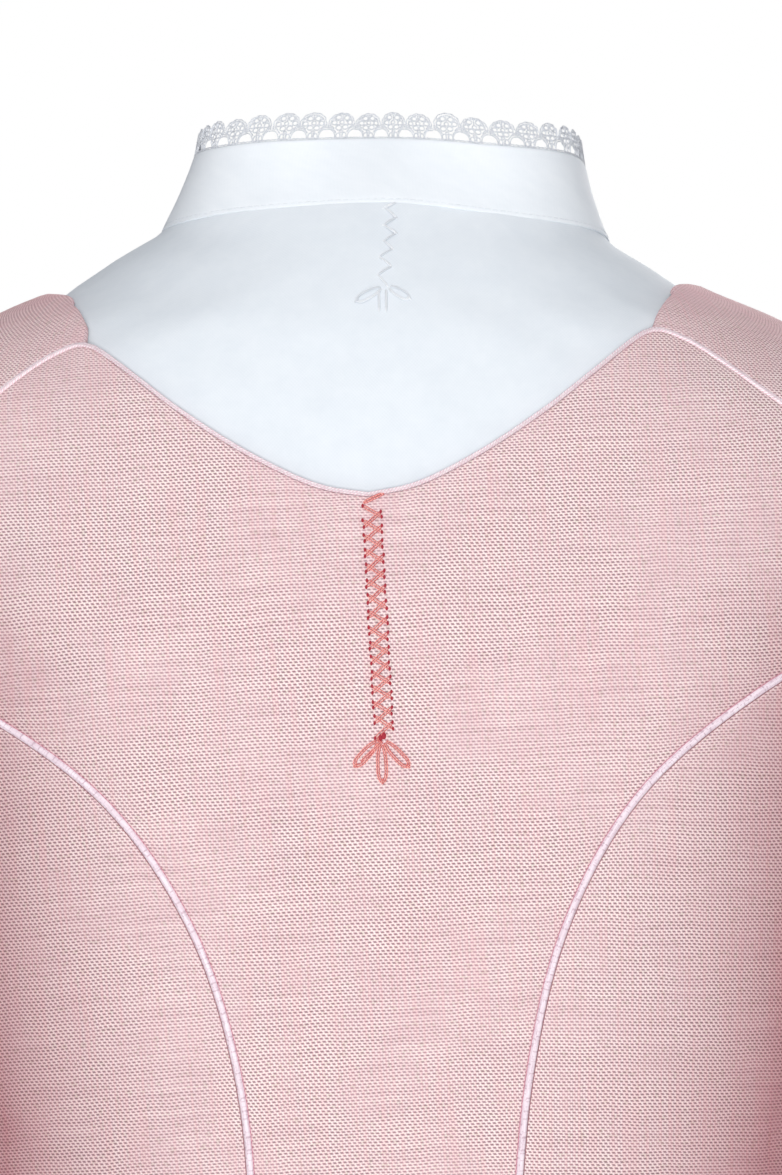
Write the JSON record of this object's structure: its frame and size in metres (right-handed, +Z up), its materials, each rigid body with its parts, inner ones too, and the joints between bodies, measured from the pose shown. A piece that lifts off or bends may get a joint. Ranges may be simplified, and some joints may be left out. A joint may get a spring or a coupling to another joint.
{
  "type": "dirndl",
  "caption": "Worn dirndl set: pink linen dress with piped fitted bodice and folded skirt, white blouse with lace-edged stand collar and puff sleeves, plain tied apron.",
  "frame": {"origin": "midway between the two side neck points, where the wearer's shoulders carry the set", "axes": "+Z up; the front faces -Y and the back +Y; +X is the wearer's left"},
  "size_m": [0.573, 0.4994, 1.1264],
  "materials": {
    "linen_pink": "plain-weave slubbed linen, matt",
    "piping_pink": "satin bias piping, soft sheen",
    "cotton_white": "fine plain-weave cotton, matt",
    "lace_white": "cotton bobbin-lace thread, matt",
    "apron_rose": "fine plain-weave cotton, matt",
    "button_pearl": "smooth, soft gloss",
    "thread_coral": "stranded embroidery thread, soft sheen"
  },
  "bodies": {
    "root": {"blouse_back": "cotton_white", "blouse_front_left": "cotton_white", "blouse_front_right": "cotton_white", "collar_stand": "cotton_white", "collar_lace": "lace_white", "sleeve_left": "cotton_white", "cuff_left": "cotton_white", "sleeve_right": "cotton_white", "cuff_right": "cotton_white", "blouse_button_1": "lace_white", "blouse_button_2": "lace_white", "blouse_button_3": "lace_white", "blouse_button_4": "lace_white", "bodice_back": "linen_pink", "bodice_side_back_left": "linen_pink", "bodice_side_front_left": "linen_pink", "bodice_front_left": "linen_pink", "piping_princess_left": "piping_pink", "bodice_side_back_right": "linen_pink", "bodice_side_front_right": "linen_pink", "bodice_front_right": "linen_pink", "piping_princess_right": "piping_pink", "piping_neck_and_shoulders": "piping_pink", "bodice_button_1": "button_pearl", "bodice_button_2": "button_pearl", "bodice_button_3": "button_pearl", "bodice_button_4": "button_pearl", "bodice_button_5": "button_pearl", "bodice_button_6": "button_pearl", "bodice_button_7": "button_pearl", "skirt_back": "linen_pink", "skirt_front": "linen_pink", "apron_panel": "apron_rose", "apron_waistband": "apron_rose", "apron_bow_knot": "apron_rose", "apron_bow_loop_left": "apron_rose", "apron_bow_tail_left": "apron_rose", "apron_bow_loop_right": "apron_rose", "apron_bow_tail_right": "apron_rose"}
  },
  "joints": []
}
